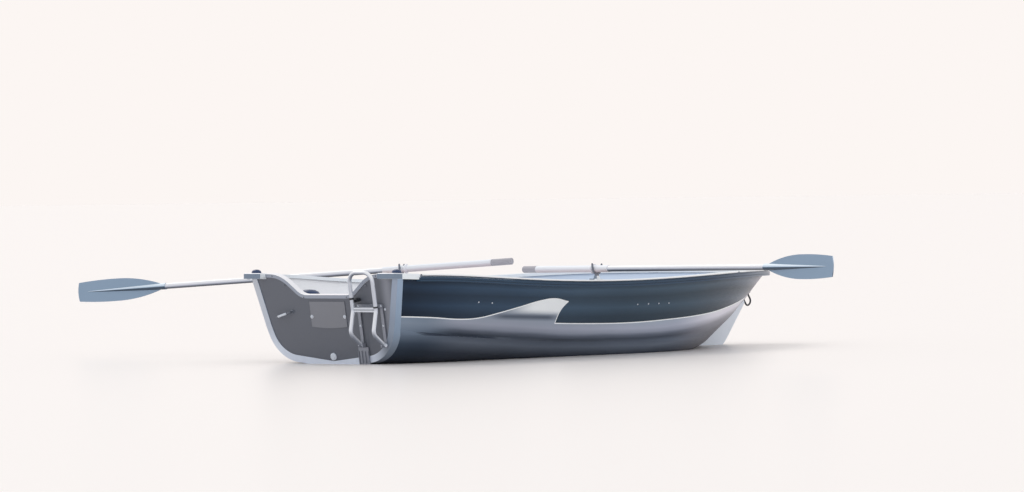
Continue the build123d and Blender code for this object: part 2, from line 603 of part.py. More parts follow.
def build():
    skin = hull_half()
    both_sides("hull", skin)
    rail = gunwale()
    both_sides("gunwale", rail)
    inner_wall = half_shell(0, -SKIN - GAP)
    for name, aft, front, up in THWARTS:
        save(f"thwart_{name}", thwart(inner_wall, aft, front, up))
    save("floor_frame", floor_frame())
    save("bow_plate", bow_plate())
    save("hatch_lid", hatch_lid())
    save("keel", keel())
    save("bow_eye", bow_eye())
    save("transom", transom())
    save("transom_trim", transom_trim())
    save("transom_rim", transom_rim())
    both_sides("corner_casting", casting())
    both_sides("corner_knob", knob())
    save("motor_pad_outer", motor_pad(True))
    save("motor_pad_inner", motor_pad(False))
    save("drain_plug", drain_plug())
    save("transom_handle", handle())
    top = height_at_lock(rail)
    both_sides("oar_socket", socket(rail, top))
    both_sides("oarlock", lock_place(top) * oarlock())
    pieces = oar_pieces()
    for side, lift in OAR_LIFT.items():
        for name, piece in pieces.items():
            placed = lock_place(top) * Rot(lift, 0, 0) * piece
            save(f"oar_{side}_{name}", placed if side == "port" else placed.mirror(Plane.XZ))
    save("ladder_hoop", ladder_hoop())
    save("ladder_tread", ladder_tread())
    save("ladder_frame", ladder_frame())
    save("ladder_foot", ladder_foot())
    save("ladder_cradle", ladder_cradle())


build()
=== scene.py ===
"""Looks of an open aluminium rowing boat that lies afloat, with its oars in their locks.

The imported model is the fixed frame, in metres, with the water plane at z = 0. The camera stands
where the photograph was taken from: low, far off the starboard quarter, through a long lens.
Places on the boat are written in the boat's own frame, in millimetres forward of the transom's
foot, to port and up from the keel line, and afloat() puts them where the trimmed boat has them.
"""
import json
from math import cos, pi, radians, sin

import bmesh
import bpy
from mathutils import Matrix, Vector


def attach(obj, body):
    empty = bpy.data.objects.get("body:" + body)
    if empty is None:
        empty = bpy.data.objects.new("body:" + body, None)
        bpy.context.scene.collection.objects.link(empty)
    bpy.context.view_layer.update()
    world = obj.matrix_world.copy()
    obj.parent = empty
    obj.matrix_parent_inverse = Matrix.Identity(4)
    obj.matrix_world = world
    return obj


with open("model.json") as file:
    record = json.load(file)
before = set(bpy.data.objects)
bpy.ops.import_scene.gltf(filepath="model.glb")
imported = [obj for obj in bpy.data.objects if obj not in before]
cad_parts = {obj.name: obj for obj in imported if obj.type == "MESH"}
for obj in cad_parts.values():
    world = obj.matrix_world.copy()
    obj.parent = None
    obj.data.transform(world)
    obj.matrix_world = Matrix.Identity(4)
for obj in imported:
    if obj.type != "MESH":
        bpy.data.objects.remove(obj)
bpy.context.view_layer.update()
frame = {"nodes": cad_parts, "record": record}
nodes = frame["nodes"]

# How the boat floats, as in the CAD
TRIM = radians(2.5)
FOOT_DRAUGHT = 0.008
ORIGIN_FORWARD = 1.9
RAKE = radians(12)

# Camera: the photograph is 1024 x 492
PHOTO_WIDE = 1024
SENSOR_MM = 36
FOCAL_PX = 5448
CLIP = (1, 1000)
EYE = (-24.860, -20.411, 0.965)
LOOK = (0.76870, 0.63952, -0.01025)
ACROSS = (0.63939, -0.76876, -0.01394)

MM = 0.001
SIDES = ((1, "port"), (-1, "starboard"))
FAR_OUT = 2000  # millimetres to the side, well beyond the beam, where a ray at the skin starts


def afloat(x, y, z):
    """A place in the boat's frame, in millimetres, as a point of the scene."""
    x, y, z = x * MM, y * MM, z * MM
    return Vector((x * cos(TRIM) + z * sin(TRIM) - ORIGIN_FORWARD, y,
                   z * cos(TRIM) - x * sin(TRIM) - FOOT_DRAUGHT))


def along(x, y, z):
    """A direction in the boat's frame, as a direction of the scene."""
    return Vector((x * cos(TRIM) + z * sin(TRIM), y, z * cos(TRIM) - x * sin(TRIM)))


def on_stern(out, up, off=0.0):
    """A place on the transom: millimetres to starboard, up along it and aft from its face."""
    return afloat(-up * sin(RAKE) - off * cos(RAKE), -out, up * cos(RAKE) - off * sin(RAKE))


STERN_OUT = along(0, -1, 0)
STERN_UP = along(-sin(RAKE), 0, cos(RAKE))
STERN_AFT = along(-cos(RAKE), 0, -sin(RAKE))


def srgb(red, green, blue):
    """A colour written as it should look on screen, from 0 to 255."""
    def linear(value):
        value /= 255
        return value / 12.92 if value <= 0.04045 else ((value + 0.055) / 1.055) ** 2.4
    return (linear(red), linear(green), linear(blue), 1.0)


def shade(colour, factor):
    return tuple(min(1.0, c * factor) for c in colour[:3]) + (1.0,)


PALE = (1.0, 1.0, 1.0, 1.0)


# Materials

MIX_ONE, MIX_TWO, MIX_OUT = 6, 7, 2  # the colour sockets of a Mix node
NOISE_SPAN = (0.3, 0.7)  # where nearly all of a noise lies
ROUGH_SPREAD = 0.05


class Graph:
    """A short way to wire a material's nodes."""

    def __init__(self, name):
        self.material = bpy.data.materials.new(name)
        self.material.use_nodes = True
        self.tree = self.material.node_tree
        self.shader = self.tree.nodes["Principled BSDF"]

    def node(self, kind, **settings):
        made = self.tree.nodes.new(kind)
        for key, value in settings.items():
            setattr(made, key, value)
        return made

    def link(self, source, target):
        self.tree.links.new(source, target)

    def put(self, value, target):
        """Sets a number or a colour on a socket, or links another node's output to it."""
        if isinstance(value, (int, float, tuple)):
            target.default_value = value
        else:
            self.link(value, target)

    def calc(self, operation, *values):
        node = self.node("ShaderNodeMath", operation=operation)
        for value, socket in zip(values, node.inputs):
            self.put(value, socket)
        return node.outputs[0]

    def add(self, one, two):
        return self.calc("ADD", one, two)

    def less(self, one, two):
        return self.calc("SUBTRACT", one, two)

    def product(self, one, two):
        return self.calc("MULTIPLY", one, two)

    def over(self, value, limit):
        """1 where a value is greater than a limit, and 0 elsewhere."""
        return self.calc("GREATER_THAN", value, limit)

    def mix(self, share, one, two, blend="MIX"):
        node = self.node("ShaderNodeMix", data_type="RGBA", blend_type=blend)
        self.put(share, node.inputs["Factor"])
        self.put(one, node.inputs[MIX_ONE])
        self.put(two, node.inputs[MIX_TWO])
        return node.outputs[MIX_OUT]

    def times(self, one, two):
        return self.mix(1, one, two, "MULTIPLY")

    def clouded(self, tone, clouds, dim):
        """A tone that a noise takes down, at most by the factor dim."""
        return self.times(tone, self.mix(clouds, shade(PALE, dim), PALE))

    def place(self):
        return self.node("ShaderNodeTexCoord").outputs["Object"]

    def normal(self):
        return self.node("ShaderNodeTexCoord").outputs["Normal"]

    def face_normal(self):
        """The flat face's own direction, also where the shading is smooth."""
        return self.node("ShaderNodeNewGeometry").outputs["True Normal"]

    def split(self, vector):
        node = self.node("ShaderNodeSeparateXYZ")
        self.link(vector, node.inputs[0])
        return node.outputs[0], node.outputs[1], node.outputs[2]

    def faces_up(self):
        """1 on a level face that looks up, 0 on an upright one."""
        return self.split(self.face_normal())[2]

    def noise(self, scale, detail=4, stretch=(1, 1, 1)):
        mapping = self.node("ShaderNodeMapping")
        mapping.inputs["Scale"].default_value = stretch
        self.link(self.place(), mapping.inputs["Vector"])
        node = self.node("ShaderNodeTexNoise")
        node.inputs["Scale"].default_value = scale
        node.inputs["Detail"].default_value = detail
        self.link(mapping.outputs[0], node.inputs["Vector"])
        return node.outputs["Fac"]

    def map_range(self, value, span, onto=(0, 1), kind="LINEAR"):
        node = self.node("ShaderNodeMapRange", interpolation_type=kind)
        self.put(value, node.inputs["Value"])
        for key, number in zip(("From Min", "From Max", "To Min", "To Max"), (*span, *onto)):
            node.inputs[key].default_value = number
        return node.outputs[0]

    def ease(self, value, low, high):
        """0 at low to 1 at high, with soft ends; high may be the smaller."""
        onto = (0, 1) if low < high else (1, 0)
        return self.map_range(value, (min(low, high), max(low, high)), onto, "SMOOTHSTEP")

    def ridge(self, value, middle, half):
        """1 at the middle, 0 from half its width on."""
        return self.ease(self.calc("ABSOLUTE", self.less(value, middle)), half, 0)

    def spread(self, noise, low, high):
        """A noise, mapped onto low to high."""
        return self.map_range(noise, NOISE_SPAN, (low, high))

    def ramp(self, value, stops):
        """Colours along a number, from (number, (red, green, blue)) in rising order."""
        low, high = stops[0][0], stops[-1][0]
        node = self.node("ShaderNodeValToRGB")
        self.link(self.map_range(value, (low, high)), node.inputs[0])
        held = node.color_ramp.elements
        held[0].color, held[1].color = srgb(*stops[0][1]), srgb(*stops[-1][1])
        for number, colour in stops[1:-1]:
            held.new((number - low) / (high - low)).color = srgb(*colour)
        return node.outputs[0]

    def dressed(self, tone, rough, **others):
        """The finished material; others are more of the shader's sockets, with _ for a space."""
        sockets = {"Base Color": tone, "Roughness": rough, **others}
        for key, value in sockets.items():
            self.put(value, self.shader.inputs[key.replace("_", " ")])
        return self.material


def plain(name, colour, rough, metal=0.0, vary=0.06, grain=40):
    """A material with a little cloudiness in its colour and gloss."""
    graph = Graph(name)
    clouds = graph.noise(grain)
    tone = graph.mix(clouds, shade(colour, 1 - vary), shade(colour, 1 + vary))
    gloss = graph.spread(clouds, rough - ROUGH_SPREAD, rough + ROUGH_SPREAD)
    return graph.dressed(tone, gloss, Metallic=metal)


# The painted band's lower edges: millimetres forward and up, and for its nose up and forward
AFT_BAND = [(-120, 277), (163, 277), (397, 271), (532, 281), (686, 312), (844, 349), (1005, 388),
            (1112, 401), (1238, 386), (1400, 380)]
FORWARD_BAND = [(1000, 261), (1515, 265), (1824, 276), (2166, 301), (2502, 332), (2699, 356),
                (2945, 393), (3265, 436), (3600, 462), (4100, 475)]
BAND_NOSE = [(200, 1160), (261, 1175), (292, 1178), (323, 1186), (355, 1203), (386, 1233),
             (420, 1230), (700, 1200)]
AFT_BAND_END = 1290
PIN_WIDE = 6
CURVE_SPAN = 4400
CURVE_MARGIN = 0.05  # keeps a curve node's places above 0, as some lie aft of the transom's foot

# How the light lies on the bare skin: tones by the height over the fold along the side, aft by
# the height alone, and a light by the place forward
FOLD = [(-120, 190), (198, 210), (563, 203), (1249, 187), (1878, 200), (2236, 226), (2647, 272),
        (3000, 330), (3400, 400), (4100, 520)]
SHEER = [(-107, 502), (900, 503), (1900, 529), (2841, 591), (3443, 615), (4010, 626)]
SIDE_TONES = [(-200, (52, 62, 80)), (-130, (56, 66, 84)), (-95, (88, 98, 114)),
              (-62, (114, 124, 140)), (-40, (98, 108, 124)), (-18, (72, 81, 96)),
              (0, (108, 116, 132)), (16, (156, 163, 180)), (42, (182, 187, 204)),
              (80, (172, 182, 198)), (200, (156, 167, 183))]
AFT_TONES = [(0, (34, 46, 62)), (85, (42, 54, 70)), (125, (60, 73, 90)), (150, (86, 99, 116)),
             (200, (120, 134, 152)), (240, (136, 149, 166)), (290, (128, 145, 163))]
BOW_TONES = [(-150, (106, 107, 116)), (-50, (128, 129, 138)), (0, (164, 163, 173)),
             (40, (238, 235, 245)), (110, (252, 250, 255)), (200, (252, 250, 255))]
SIDE_LIGHT = [(0, (255, 255, 255)), (200, (240, 240, 240)), (400, (228, 228, 228)),
              (900, (230, 230, 230)), (1400, (244, 244, 244)), (1800, (255, 255, 255)),
              (4100, (255, 255, 255))]
AFT_BLEND = (420, 120)  # where the aft tones and the bow's take over
BOW_BLEND = (2200, 2780)
SKIN_WANDER = 7  # millimetres by which the tones' edges waver

# A painted highlight under the band's wave, and a painted shadow of the fold in a dark line below
# it
WAVE_HIGHLIGHT = srgb(250, 253, 255)
WAVE_HIGHLIGHT_BEGINS = (690, 990)
WAVE_HIGHLIGHT_ENDS = (1500, 1300)
WAVE_HIGHLIGHT_RISES = (296, 336)
FOLD_SHADOW = srgb(94, 103, 118)
FOLD_SHADOW_BEGINS = (560, 760)
FOLD_SHADOW_ENDS = (1230, 1090)
FOLD_SHADOW_UP, FOLD_SHADOW_HALF = 290, 26

# The band's paint in painted light and shade, by the place forward and the depth under the sheer
BAND_TONES = [(0, (31, 51, 74)), (250, (46, 69, 94)), (450, (56, 79, 104)), (800, (60, 84, 109)),
              (1300, (74, 97, 119)), (1700, (68, 90, 110)), (2340, (74, 95, 113)),
              (2582, (81, 98, 114)), (2838, (91, 105, 121)), (3100, (115, 126, 141)),
              (3400, (152, 154, 166)), (3700, (184, 180, 192)), (3950, (206, 201, 212))]
BAND_LIGHT = [(0, (190, 190, 190)), (22, (206, 206, 206)), (58, (255, 255, 255)),
              (98, (192, 192, 192)), (125, (206, 206, 206)), (158, (238, 238, 238)),
              (212, (186, 186, 186)), (260, (176, 176, 176))]
PIN_LINE = srgb(252, 254, 255)
# Inside: pale sheet, tinted blue towards the bow by a painted reflection of the sky
INSIDE_TONES = [(0, (255, 252, 252)), (1500, (252, 252, 255)), (2300, (226, 237, 253)),
                (3300, (222, 234, 251))]

# The CAD's skin has a ledge low on its aft sides that a real hull hasn't, and the aft seat's
# edge shows on it. A dark tone of the side keeps both from catching the light.
LEDGE = srgb(60, 68, 82)
LEDGE_LEVEL = (0.3, 0.7)
SEAT_EDGE_OUT = 0.5  # metres from the centreline
SEAT_EDGE_BELOW = 220
SEAT_EDGE_LEVEL = 0.5


def curve_node(graph, value, points):
    """A smooth curve through points, both ways in millimetres."""
    node = graph.node("ShaderNodeFloatCurve")
    curve = node.mapping.curves[0]
    spots = [(x / CURVE_SPAN + CURVE_MARGIN, z / CURVE_SPAN) for x, z in points]
    curve.points[0].location, curve.points[1].location = spots[0], spots[-1]
    for spot in spots[1:-1]:
        curve.points.new(*spot)
    node.mapping.update()
    graph.link(graph.calc("MULTIPLY_ADD", value, 1 / CURVE_SPAN, CURVE_MARGIN),
               node.inputs["Value"])
    return graph.product(node.outputs[0], CURVE_SPAN)


def boat_place(graph):
    """Millimetres forward, metres to port and millimetres up, in the boat's frame."""
    x, y, z = graph.split(graph.place())
    x = graph.add(x, ORIGIN_FORWARD)
    z = graph.add(z, FOOT_DRAUGHT)
    forward = graph.less(graph.product(x, cos(TRIM) / MM), graph.product(z, sin(TRIM) / MM))
    up = graph.add(graph.product(x, sin(TRIM) / MM), graph.product(z, cos(TRIM) / MM))
    return forward, y, up


def to_side(graph, across, y):
    """How far a direction's part athwartships points away from the centreline."""
    return graph.product(across, graph.calc("SIGN", y))


def faces_out(graph, y, lean=0.3):
    """Positive where a face looks away from the boat's inside."""
    _, across, rise = graph.split(graph.face_normal())
    return graph.less(to_side(graph, across, y), graph.product(rise, lean))


def band_depth(graph, forward, up):
    """Millimetres from the painted band's edge to a place in it, and negative outside it."""
    over_aft = graph.less(up, curve_node(graph, forward, AFT_BAND))
    aft_band = graph.calc("MINIMUM", over_aft, graph.less(AFT_BAND_END, forward))
    over_fore = graph.less(up, curve_node(graph, forward, FORWARD_BAND))
    ahead = graph.less(forward, curve_node(graph, up, BAND_NOSE))
    return graph.calc("MAXIMUM", aft_band, graph.calc("MINIMUM", over_fore, ahead))


def side_tone(graph, forward, up, wander):
    """The bare sheet's grey along the outside, in painted light and shade."""
    over_fold = graph.add(graph.less(up, curve_node(graph, forward, FOLD)), wander)
    side = graph.mix(graph.ease(forward, *AFT_BLEND), graph.ramp(over_fold, SIDE_TONES),
                     graph.ramp(up, AFT_TONES))
    side = graph.times(side, graph.ramp(forward, SIDE_LIGHT))
    side = graph.mix(graph.ease(forward, *BOW_BLEND), side, graph.ramp(over_fold, BOW_TONES))

    # A painted highlight under the band's wave, and a painted fold shadow below it
    highlight = graph.product(graph.ease(forward, *WAVE_HIGHLIGHT_BEGINS), graph.ease(up, *WAVE_HIGHLIGHT_RISES))
    highlight = graph.product(highlight, graph.ease(forward, *WAVE_HIGHLIGHT_ENDS))
    side = graph.mix(highlight, side, WAVE_HIGHLIGHT)
    shadow_line = graph.product(graph.ease(forward, *FOLD_SHADOW_BEGINS), graph.ease(forward, *FOLD_SHADOW_ENDS))
    shadow_line = graph.product(shadow_line, graph.ridge(up, FOLD_SHADOW_UP, FOLD_SHADOW_HALF))
    side = graph.mix(shadow_line, side, FOLD_SHADOW)
    return graph.mix(graph.ease(graph.faces_up(), *LEDGE_LEVEL), side, LEDGE)


def hull_skin():
    """Painted light and shade on the bare sheet, the painted band and its pin line outside; pale
    sheet inside.
    """
    graph = Graph("hull_skin_look")
    forward, y, up = boat_place(graph)
    wander = graph.spread(graph.noise(2.2, stretch=(0.5, 1, 4)), -SKIN_WANDER, SKIN_WANDER)
    under_sheer = graph.add(graph.less(curve_node(graph, forward, SHEER), up), wander)
    # The band's paint, in painted light and shade
    band_paint_and_light = graph.times(graph.ramp(forward, BAND_TONES), graph.ramp(under_sheer, BAND_LIGHT))
    depth = band_depth(graph, forward, up)
    side = side_tone(graph, forward, up, wander)
    outer = graph.mix(graph.over(depth, -PIN_WIDE), side, PIN_LINE)
    outer = graph.mix(graph.over(depth, 0), outer, band_paint_and_light)
    inner = graph.clouded(graph.ramp(forward, INSIDE_TONES), graph.noise(5), 0.94)
    fine = graph.noise(60, detail=6, stretch=(0.2, 1, 3))
    return graph.dressed(graph.mix(graph.over(faces_out(graph, y), 0), inner, outer),
                         graph.spread(fine, 0.36, 0.46), Specular_IOR_Level=0.2)


# Bare metal on top and inboard, with a painted highlight
GUNWALE_TOP = (srgb(240, 243, 248), srgb(252, 254, 255))
GUNWALE_FACE = (srgb(44, 66, 88), srgb(54, 77, 100))
# A painted reflection that pales the outer face towards the bow
GUNWALE_BOW_REFLECTION = [((2300, 3500), srgb(112, 124, 142)), ((3400, 3950), srgb(196, 192, 204))]
# Painted shade on the ledges of the grooves
GROOVE_SHADE = srgb(26, 40, 54)
GROOVE_LEVEL = (0.3, 0.6)

# Dark is what looks outboard by more than OUTER_FROM, and from UNDER_EDGE down, in millimetres
# under the sheer, all but what looks inboard past INNER_TO
UNDER_EDGE = (4, 8)
OUTER_FROM, INNER_TO = 0.4, -0.5


def gunwale_look():
    """Pale top and inboard with painted highlight; dark outer face with painted shade in its
    grooves.
    """
    graph = Graph("gunwale_look")
    forward, y, up = boat_place(graph)
    out = faces_out(graph, y, 0)
    under_top = graph.less(curve_node(graph, forward, SHEER), up)
    outboard = graph.over(graph.add(out, graph.ease(under_top, *UNDER_EDGE)), OUTER_FROM)
    outboard = graph.product(outboard, graph.over(out, INNER_TO))
    top = graph.mix(graph.noise(30), *GUNWALE_TOP)
    face = graph.mix(graph.noise(9, stretch=(0.3, 1, 4)), *GUNWALE_FACE)
    for span, tone in GUNWALE_BOW_REFLECTION:
        face = graph.mix(graph.ease(forward, *span), face, tone)
    face = graph.mix(graph.ease(graph.faces_up(), *GROOVE_LEVEL), face, GROOVE_SHADE)
    return graph.dressed(graph.mix(outboard, top, face),
                         graph.spread(graph.noise(80), 0.3, 0.38), Specular_IOR_Level=0.25)


def seat_look():
    """Pale sheet, with the ledge's painted shade on the strip of the seat that shows through the
    skin.
    """
    graph = Graph("seat_look")
    _, y, up = boat_place(graph)
    strip = graph.product(graph.over(graph.calc("ABSOLUTE", y), SEAT_EDGE_OUT),
                          graph.calc("LESS_THAN", up, SEAT_EDGE_BELOW))
    strip = graph.product(strip, graph.over(graph.faces_up(), SEAT_EDGE_LEVEL))
    pale = graph.mix(graph.noise(10), srgb(220, 222, 226), srgb(232, 234, 238))
    return graph.dressed(graph.mix(strip, pale, LEDGE), 0.4)


TRANSOM_LIGHT_AT, TRANSOM_LIGHT_HALF = -0.455, 0.06  # metres to port
TRANSOM_LIGHT_RISES = (60, 160)


def transom_look():
    """Dark satin panel with a soft light near its starboard edge."""
    graph = Graph("transom_look")
    _, y, up = boat_place(graph)
    clouds = graph.noise(5)
    tone = graph.mix(clouds, srgb(94, 98, 108), srgb(101, 105, 115))
    light = graph.product(graph.ridge(y, TRANSOM_LIGHT_AT, TRANSOM_LIGHT_HALF),
                          graph.ease(up, *TRANSOM_LIGHT_RISES))
    return graph.dressed(graph.mix(light, tone, srgb(140, 143, 153)),
                         graph.spread(clouds, 0.38, 0.46))


OUTBOARD_LEVEL = (0.5, 0.8)
AFT_LEVEL = (0.35, 0.75)
TOP_LEVEL = (0.45, 0.75)


def sided(name, top, aft, side, rough=0.4, inner=None, box_from=-200):
    """A stern fitting in painted light and shade: a tone on top, one aft and one outboard.

    Aft of box_from the side outboard has the tone of the face aft. What looks inboard or forward
    has the inner tone, or the side's where none is given.
    """
    graph = Graph(name)
    forward, y, _ = boat_place(graph)
    lengthwise, across, rise = graph.split(graph.normal())
    outboard = graph.ease(to_side(graph, across, y), *OUTBOARD_LEVEL)
    faces_aft = graph.ease(graph.product(lengthwise, -1), *AFT_LEVEL)
    tone = graph.mix(faces_aft, srgb(*(inner or side)), srgb(*aft))
    tone = graph.mix(outboard, tone, srgb(*aft))
    tone = graph.mix(graph.product(outboard, graph.over(forward, box_from)), tone, srgb(*side))
    tone = graph.mix(graph.ease(rise, *TOP_LEVEL), tone, srgb(*top))
    clouds = graph.noise(40)
    gloss = graph.spread(clouds, rough - ROUGH_SPREAD, rough + ROUGH_SPREAD)
    return graph.dressed(graph.clouded(tone, clouds, 0.95), gloss, Metallic=0.1)


# The transom's rim by the height over the keel line, in painted light and shade: its side, its
# flange aft, and that flange in painted shade to starboard
RIM_SIDE = [(-20, (108, 118, 134)), (90, (124, 136, 152)), (200, (146, 165, 188)),
            (480, (158, 180, 206))]
RIM_FLANGE = [(-20, (222, 230, 245)), (90, (220, 228, 242)), (200, (198, 205, 218)),
              (480, (198, 203, 213))]
RIM_SHADED = [(-20, (148, 156, 170)), (90, (132, 141, 155)), (200, (150, 162, 180)),
              (480, (162, 174, 194))]
RIM_SHADE_FROM = (-0.28, -0.42)  # metres to port
RIM_LEVEL = (0.5, 0.8)


def rim_look():
    """Extrusion with painted light on its flange aft, painted shade to starboard, and a duller
    side.
    """
    graph = Graph("rim_look")
    _, y, up = boat_place(graph)
    lengthwise, _, _ = graph.split(graph.normal())
    flange = graph.mix(graph.ease(y, *RIM_SHADE_FROM), graph.ramp(up, RIM_FLANGE),
                       graph.ramp(up, RIM_SHADED))
    faces_aft = graph.ease(graph.product(lengthwise, -1), *RIM_LEVEL)
    tone = graph.mix(faces_aft, graph.ramp(up, RIM_SIDE), flange)
    tone = graph.clouded(tone, graph.noise(24, stretch=(1, 1, 0.3)), 0.92)
    return graph.dressed(tone, 0.34, Metallic=0.1)


def round_look(name, tones, rough=0.3, metal=0.1):
    """A tube with painted light above and a painted reflection below, of what lies under it."""
    graph = Graph(name)
    _, _, rise = graph.split(graph.normal())
    tone = graph.clouded(graph.ramp(rise, tones), graph.noise(8), 0.95)
    return graph.dressed(tone, rough, Metallic=metal)


# Tones by how far a face looks up: painted light above and a painted reflection below, over each
# part's own colour
TUBE_TONES = [(-1.0, (40, 46, 60)), (-0.85, (54, 60, 74)), (-0.6, (92, 98, 112)),
              (-0.35, (158, 164, 178)), (-0.05, (218, 222, 234)), (0.4, (246, 246, 250)),
              (1.0, (250, 250, 252))]
BLADE_TONES = [(-1.0, (46, 63, 82)), (-0.16, (56, 74, 94)), (-0.08, (122, 144, 168)),
               (0.0, (138, 161, 185)), (0.08, (146, 168, 192)), (0.2, (222, 237, 252)),
               (1.0, (238, 248, 255))]
SLEEVE_TONES = [(-1.0, (204, 190, 194)), (-0.4, (222, 212, 216)), (0.0, (240, 238, 244)),
                (0.4, (248, 249, 253)), (1.0, (244, 246, 252))]
LADDER_TONES = [(-1.0, (96, 102, 116)), (-0.4, (150, 156, 168)), (0.0, (228, 232, 242)),
                (0.5, (252, 253, 255)), (1.0, (252, 253, 255))]

# The folded tread's height along the transom, and painted highlight tones by the distance from it
TREAD_UP = 330
TREAD_TONES = [(0, (112, 118, 130)), (2, (118, 124, 136)), (3.5, (226, 230, 238)),
               (10, (232, 235, 242)), (13, (150, 155, 165)), (16, (120, 126, 138))]


def tread_look():
    """Two painted highlights as bright bars, with a darker line between them."""
    graph = Graph("tread_look")
    forward, _, up = boat_place(graph)
    up_stern = graph.less(graph.product(up, cos(RAKE)), graph.product(forward, sin(RAKE)))
    off = graph.calc("ABSOLUTE", graph.less(up_stern, TREAD_UP))
    return graph.dressed(graph.ramp(off, TREAD_TONES), 0.3, Metallic=0.2)


LOOKS = {
    "hull_skin": hull_skin(),
    "gunwale": gunwale_look(),
    "transom": transom_look(),
    "motor_pad": plain("motor_pad_look", srgb(126, 128, 136), 0.38, vary=0.04, grain=8),
    "trim_alloy": rim_look(),
    "casting": sided("casting_look", (246, 246, 250), (124, 139, 158), (246, 251, 255),
                     box_from=-106),
    "blue_plastic": plain("blue_plastic_look", srgb(36, 60, 98), 0.35, grain=50),
    "inner_alloy": plain("inner_look", srgb(226, 228, 232), 0.4, metal=0.1, grain=10),
    "fitting_steel": plain("fitting_look", srgb(122, 127, 138), 0.25, metal=0.5, vary=0.2,
                           grain=90),
    "oar_tube": round_look("oar_tube_look", TUBE_TONES),
    "oar_sleeve": round_look("oar_sleeve_look", SLEEVE_TONES, rough=0.45, metal=0.0),
    "grip": plain("grip_look", srgb(176, 173, 180), 0.6, grain=60),
    "blade": round_look("blade_look", BLADE_TONES, rough=0.4, metal=0.0),
    "black_rubber": plain("black_rubber_look", srgb(34, 36, 42), 0.55, grain=90),
    "white_plastic": plain("white_plastic_look", srgb(214, 220, 230), 0.4, grain=60),
    "ladder_tube": round_look("ladder_tube_look", LADDER_TONES, rough=0.25, metal=0.2),
    "ladder_bracket": plain("ladder_bracket_look", srgb(146, 150, 161), 0.35, metal=0.3,
                            vary=0.1, grain=60),
}
OWN_LOOKS = {
    "transom_trim": sided("trim_look", (252, 250, 253), (158, 165, 179), (236, 237, 242),
                          rough=0.35, inner=(240, 240, 245)),
    "bow_eye": plain("eye_look", srgb(42, 45, 54), 0.35, grain=60),
    "thwart_aft": seat_look(),
    # The keel near white: its bare alloy, with a painted reflection of the sky
    "keel": plain("cutwater_look", srgb(238, 244, 255), 0.36, vary=0.03, grain=20),
    "ladder_tread": tread_look(),
}
for part in frame["record"]["subparts"]:
    mesh = nodes[part["node"]].data
    mesh.materials.clear()
    mesh.materials.append(OWN_LOOKS.get(part["node"], LOOKS[part["material_slot"]]))


# Small pieces

RIVET_STEPS = 12
CAP_STEPS = 16
BOLT_STEPS = 20
RIVET_HIGH = 2.2
SEAT_RIVETS = [(504, 366), (611, 364), (1833, 379), (1931, 384), (2028, 388), (2125, 392)]
BOW_RIVETS = [(3676, 476), (3748, 478), (3803, 485), (3836, 490)]


def piece(name, parts, body, slot, look=None):
    """Joins bmeshes into one smooth object that rides on a body."""
    whole = bmesh.new()
    for part in parts:
        held = bpy.data.meshes.new("held")
        part.to_mesh(held)
        part.free()
        whole.from_mesh(held)
        bpy.data.meshes.remove(held)
    mesh = bpy.data.meshes.new(name)
    whole.to_mesh(mesh)
    whole.free()
    for face in mesh.polygons:
        face.use_smooth = True
    made = bpy.data.objects.new(name, mesh)
    bpy.context.scene.collection.objects.link(made)
    mesh.materials.append(look or LOOKS[slot])
    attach(made, body)


def turned(profile, place, axis, steps=BOLT_STEPS):
    """A profile of (radius, height) in millimetres, turned about an axis through a place."""
    part = bmesh.new()
    turn = Vector((0, 0, 1)).rotation_difference(Vector(axis).normalized())
    rings = []
    for radius, height in profile:
        angles = [0] if radius == 0 else [2 * pi * i / steps for i in range(steps)]
        rings.append([part.verts.new(turn @ Vector((radius * cos(angle) * MM,
                                                    radius * sin(angle) * MM,
                                                    height * MM)) + place)
                      for angle in angles])
    for low, high in zip(rings, rings[1:]):
        for i in range(steps):
            j = (i + 1) % steps
            corners = [low[i % len(low)], low[j % len(low)],
                       high[j % len(high)], high[i % len(high)]]
            part.faces.new(list(dict.fromkeys(corners)))
    bmesh.ops.recalc_face_normals(part, faces=part.faces)
    return part


def dome(radius, high):
    """A rounded head that starts 1 mm inside what carries it."""
    return [(0, -1), (radius, -1), (radius, high * 0.25), (radius * 0.86, high * 0.62),
            (radius * 0.5, high * 0.92), (0, high)]


def bolt(radius, washer):
    """A domed head on a washer."""
    return [(0, -1), (washer, -1), (washer, 1.2), (radius, 1.4), (radius, 3.4),
            (radius * 0.8, 5.2), (radius * 0.4, 6), (0, 6.2)]


def ring(inner, outer, high):
    """A collar, as a profile that closes on itself."""
    return [(inner, -high / 2), (outer - 1, -high / 2), (outer, -high / 2 + 1),
            (outer, high / 2 - 1), (outer - 1, high / 2), (inner, high / 2), (inner, -high / 2)]


def from_side(node, x, z, side):
    """What a ray from one side, athwartships at x and z, meets first on a node."""
    return nodes[node].ray_cast(afloat(x, side * FAR_OUT, z), Vector((0, -side, 0)))


def rivets(name, places, radius, slot):
    """Rivet heads at (forward, up) on both sides of the hull."""
    for side, word in SIDES:
        heads = []
        for x, z in places:
            _, place, normal, _ = from_side(f"hull_{word}", x, z, side)
            heads.append(turned(dome(radius, RIVET_HIGH), place, normal, RIVET_STEPS))
        piece(f"{name}_{word}", heads, "boat", slot)


BEAD_STEP = 40
BEAD_RADIUS = 4.6
BEAD_SIDES = 10
BEAD_ENDS = (30, 3970)
BEAD_DOWN, BEAD_OUTBOARD = 0.6, 0.4  # from the edge, in radii
RAIL_SEARCH = (670, 470)
RAIL_STEP = 0.5
OUTER_FACE_DOWN = 14
OUTER_FACE_SLACK = 0.003


